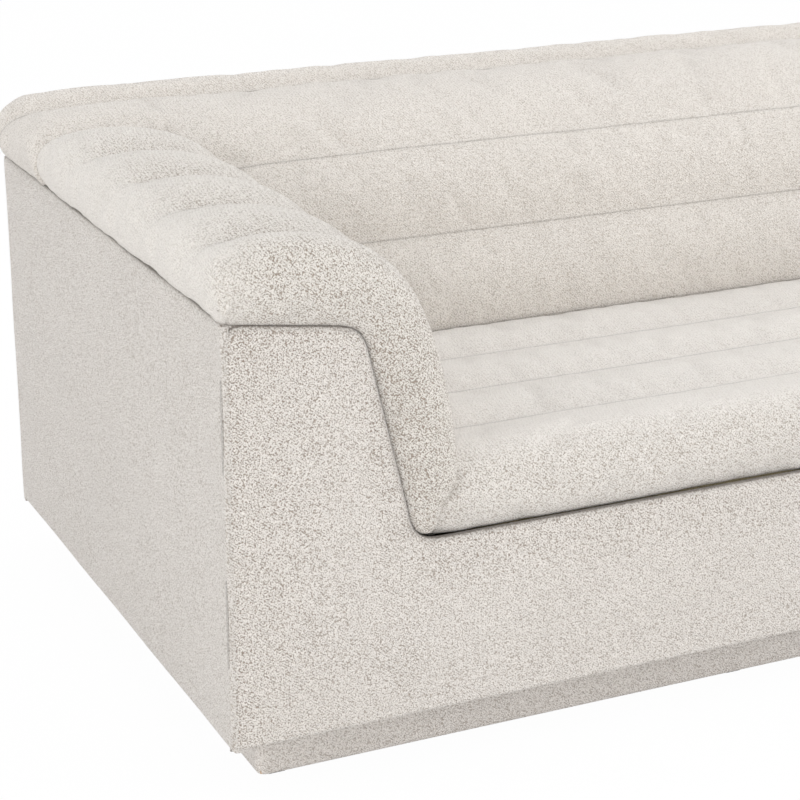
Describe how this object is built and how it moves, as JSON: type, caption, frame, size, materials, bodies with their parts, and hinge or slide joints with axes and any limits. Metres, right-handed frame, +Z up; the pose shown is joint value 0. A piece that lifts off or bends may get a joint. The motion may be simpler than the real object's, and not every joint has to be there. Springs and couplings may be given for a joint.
{
  "type": "sofa",
  "caption": "Tuxedo sofa with arms and back of one height, channelled pads rolled over a lip, a tight bench seat and a recessed plinth, all in cream looped cloth",
  "frame": {"origin": "on the floor, in the middle of the sofa's box", "axes": "+X along the sofa to the right as seen from the front, +Y from front to rear, +Z up"},
  "size_m": [2.451, 1.0418, 0.7805],
  "materials": {
    "boucle": "matte",
    "plinth_boucle": "matte",
    "glide": "matte",
    "foam": "matte",
    "webbing": "matte",
    "dust_cloth": "matte",
    "hardboard": "matte",
    "plywood": "satin",
    "timber": "matte"
  },
  "bodies": {
    "root": {"back_channel_pad": "boucle", "back_foam": "foam", "back_inner_board": "hardboard", "back_outer_board": "hardboard", "back_rib_1": "plywood", "back_rib_2": "plywood", "back_rib_3": "plywood", "back_rib_4": "plywood", "back_top_board": "plywood", "base_batten_1": "timber", "base_batten_2": "timber", "base_batten_3": "timber", "base_batten_4": "timber", "base_batten_5": "timber", "base_batten_6": "timber", "corner_blocks": "timber", "deck_back_rail": "timber", "dust_cover": "dust_cloth", "front_cover": "boucle", "left_arm_channel_pad": "boucle", "left_arm_foam": "foam", "left_arm_front_panel": "plywood", "left_arm_inner_board": "hardboard", "left_arm_outer_board": "hardboard", "left_arm_rib": "plywood", "left_arm_stretcher": "timber", "left_arm_top_board": "plywood", "left_cross_rail": "plywood", "left_end_rib": "plywood", "left_plinth_board": "plywood", "left_plinth_brace": "plywood", "left_side_cover": "boucle", "left_side_rail": "timber", "plinth_back_board": "plywood", "plinth_cover": "plinth_boucle", "plinth_front_board": "plywood", "plinth_glides": "glide", "rear_bottom_rail": "timber", "rear_cover": "boucle", "right_arm_channel_pad": "boucle", "right_arm_foam": "foam", "right_arm_front_panel": "plywood", "right_arm_inner_board": "hardboard", "right_arm_outer_board": "hardboard", "right_arm_rib": "plywood", "right_arm_stretcher": "timber", "right_arm_top_board": "plywood", "right_cross_rail": "plywood", "right_end_rib": "plywood", "right_plinth_board": "plywood", "right_plinth_brace": "plywood", "right_side_cover": "boucle", "right_side_rail": "timber", "seat_channel_pad": "boucle", "seat_foam_core": "foam", "seat_front_rail": "timber", "seat_webbing_front_to_rear": "webbing", "seat_webbing_lengthwise": "webbing"}
  },
  "joints": []
}
